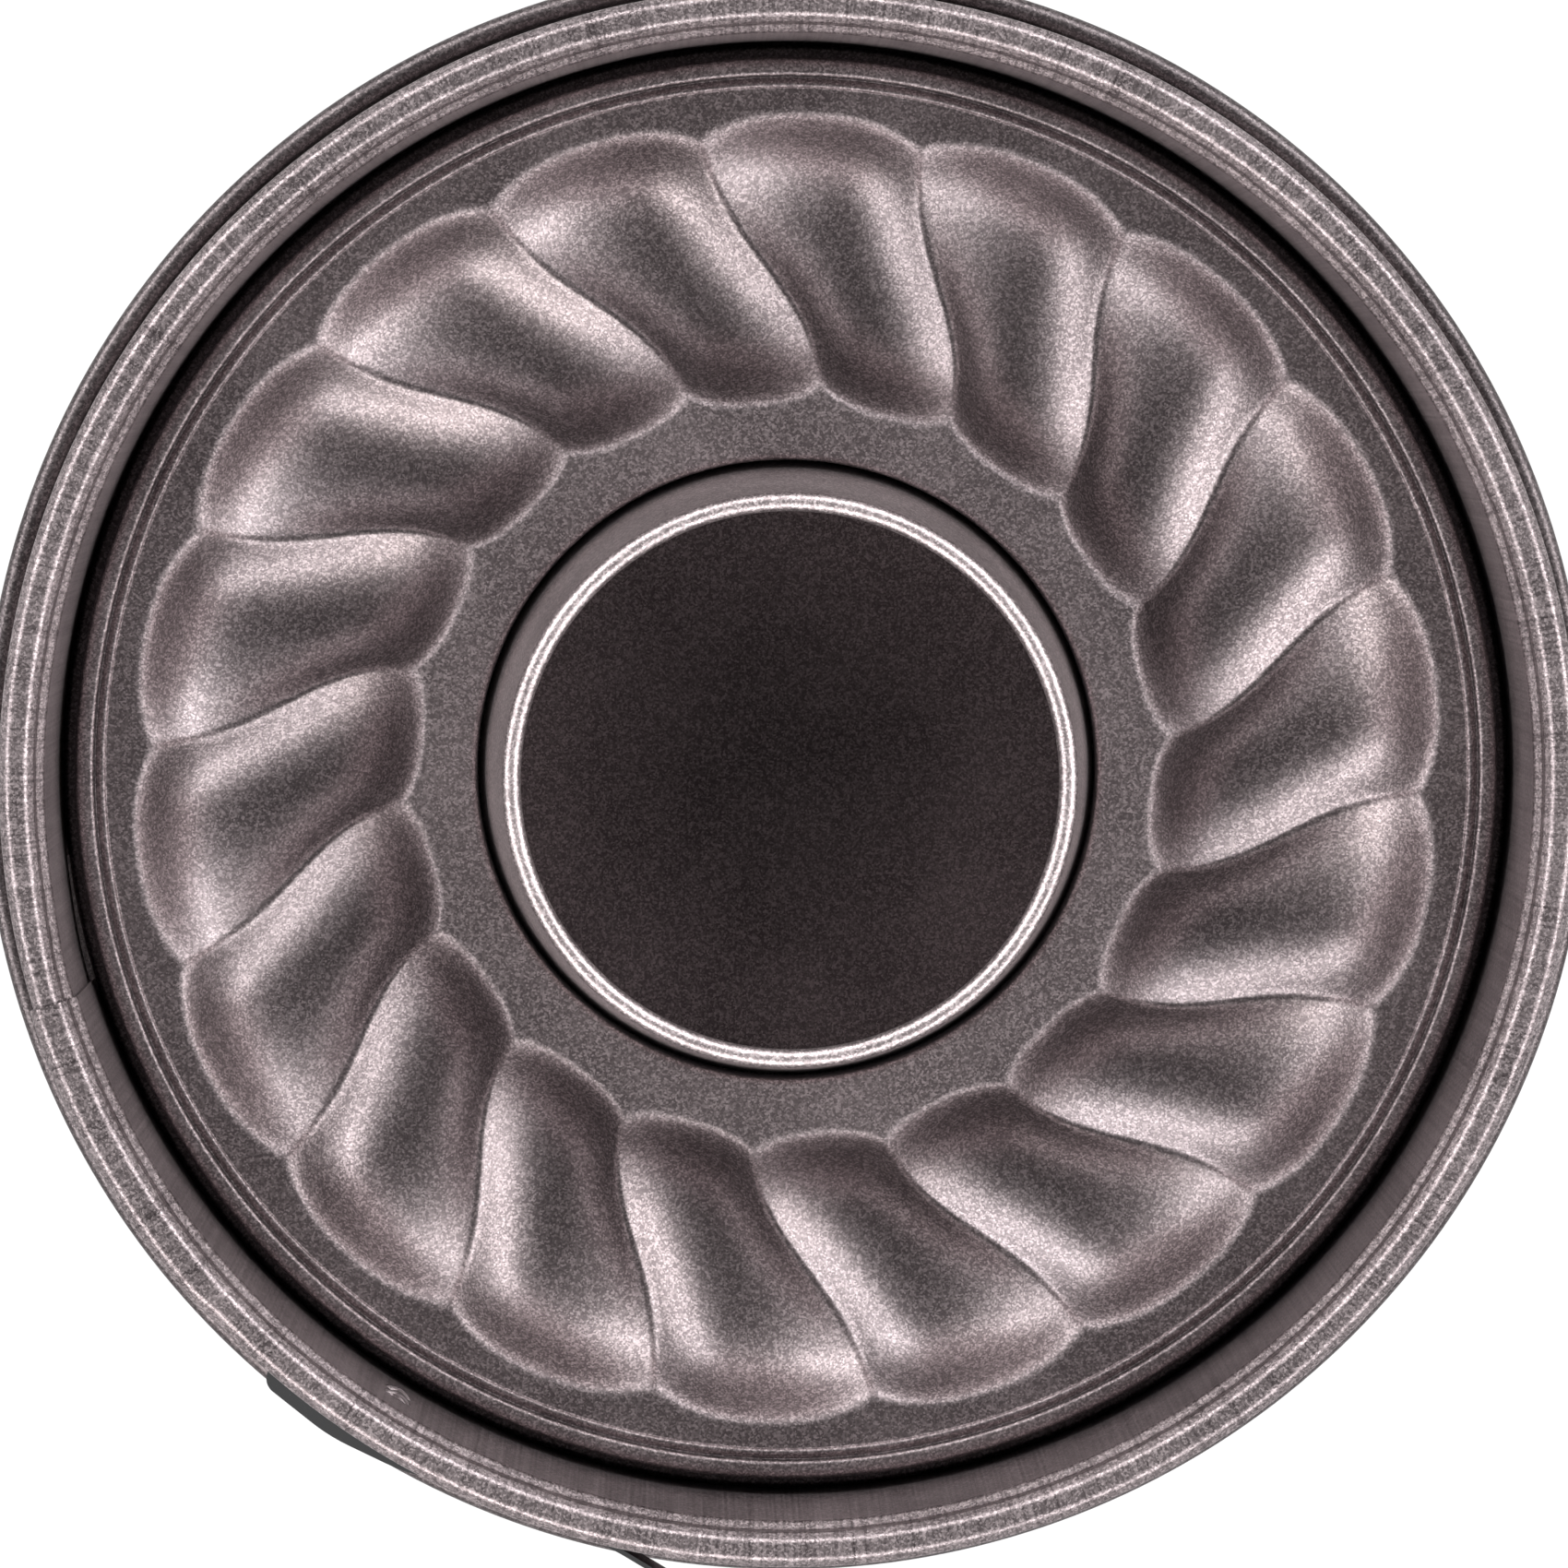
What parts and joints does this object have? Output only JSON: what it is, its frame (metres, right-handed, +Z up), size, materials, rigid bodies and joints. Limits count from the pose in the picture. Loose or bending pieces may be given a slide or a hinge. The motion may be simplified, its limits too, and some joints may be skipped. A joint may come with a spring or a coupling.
{
  "type": "springform tube pan",
  "caption": "Round springform cake pan with a fluted wreath-shaped insert, a raised centre tube, a leak guard base plate and an over-centre buckle.",
  "frame": {"origin": "the pan's axis on the surface it stands on, at the middle of the base plate", "axes": "+Z up along the pan's axis; the buckle lies on the -Y side, left of the middle, between 218 and 264 degrees anticlockwise from +X seen from above"},
  "size_m": [0.2876, 0.2898, 0.074],
  "materials": {
    "coating": "satin metallic non-stick coat",
    "chrome": "polished"
  },
  "bodies": {
    "pan": {"base_plate": "coating", "ring_band": "coating", "fluted_insert": "coating", "tube": "coating", "lever_bracket": "chrome", "bracket_rivets": "chrome", "catch_hook": "chrome", "hook_rivets": "chrome", "fulcrum_pin": "chrome"},
    "lever": {"latch_lever": "chrome"},
    "link": {"link_bail": "chrome"}
  },
  "joints": [
    {"name": "lever_hinge", "type": "hinge", "parent": "pan", "child": "lever", "pos_m": [-0.08875, -0.10652, 0.037], "axis": [0, 0, -1], "range_deg": [0, 100]},
    {"name": "link_hinge", "type": "hinge", "parent": "lever", "child": "link", "pos_m": [-0.08443, -0.10993, 0.037], "axis": [0, 0, 1], "range_deg": [0, 86]}
  ],
  "couplings": [
    {"joint": "link_hinge", "follows": "lever_hinge", "ratio": 0.86}
  ]
}
